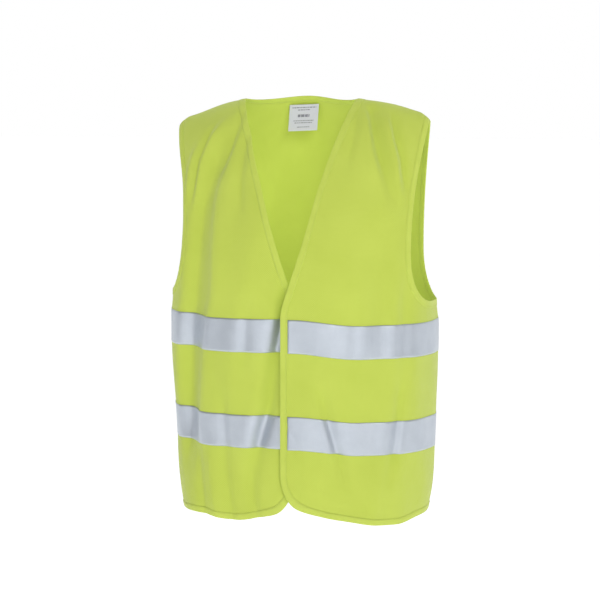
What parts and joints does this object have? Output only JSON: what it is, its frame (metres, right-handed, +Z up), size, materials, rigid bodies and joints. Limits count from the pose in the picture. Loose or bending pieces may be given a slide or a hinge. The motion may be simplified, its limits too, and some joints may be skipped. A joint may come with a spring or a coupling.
{
  "type": "high visibility vest",
  "caption": "Sleeveless V-neck safety vest with two reflective bands round the body and a hook and loop front closure.",
  "frame": {"origin": "midway between the neck ends of the two shoulder seams, at the seams' height", "axes": "+Z up, the vest's front faces -Y, the wearer's left is at +X"},
  "size_m": [0.4186, 0.269, 0.6463],
  "materials": {
    "yellow_knit": "matt fluorescent yellow-green polyester knit",
    "yellow_binding": "folded fluorescent yellow-green binding tape",
    "reflective_tape": "silver-grey glass bead retroreflective cloth tape",
    "closure_tape": "hook and loop closure tape in the vest's colour",
    "label_cloth": "white woven satin label"
  },
  "bodies": {
    "back": {"back_panel": "yellow_knit", "back_neck_binding": "yellow_binding", "back_hem_binding": "yellow_binding", "left_back_armhole_binding": "yellow_binding", "right_back_armhole_binding": "yellow_binding", "back_lower_tape": "reflective_tape", "back_upper_tape": "reflective_tape"},
    "left_front": {"left_front_panel": "yellow_knit", "left_front_edge_binding": "yellow_binding", "left_front_armhole_binding": "yellow_binding", "left_front_lower_tape": "reflective_tape", "left_front_upper_tape": "reflective_tape", "lower_hook_patch": "closure_tape", "upper_hook_patch": "closure_tape"},
    "right_front": {"right_front_panel": "yellow_knit", "right_front_edge_binding": "yellow_binding", "right_front_armhole_binding": "yellow_binding", "right_front_lower_tape": "reflective_tape", "right_front_upper_tape": "reflective_tape", "lower_loop_patch": "closure_tape", "upper_loop_patch": "closure_tape"},
    "care_label": {"care_label": "label_cloth"}
  },
  "joints": [
    {"name": "left_front_swing", "type": "hinge", "parent": "back", "child": "left_front", "pos_m": [0.2098, 0, -0.46], "axis": [0, 0, 1], "range_deg": [0, 50]},
    {"name": "right_front_swing", "type": "hinge", "parent": "back", "child": "right_front", "pos_m": [-0.2098, 0, -0.46], "axis": [0, 0, 1], "range_deg": [-35, 0]},
    {"name": "label_flip", "type": "hinge", "parent": "back", "child": "care_label", "pos_m": [-0.007, 0.0409, -0.00841], "axis": [-1, 0, 0], "range_deg": [0, 100]}
  ],
  "couplings": [
    {"joint": "right_front_swing", "follows": "left_front_swing", "ratio": -0.7}
  ]
}
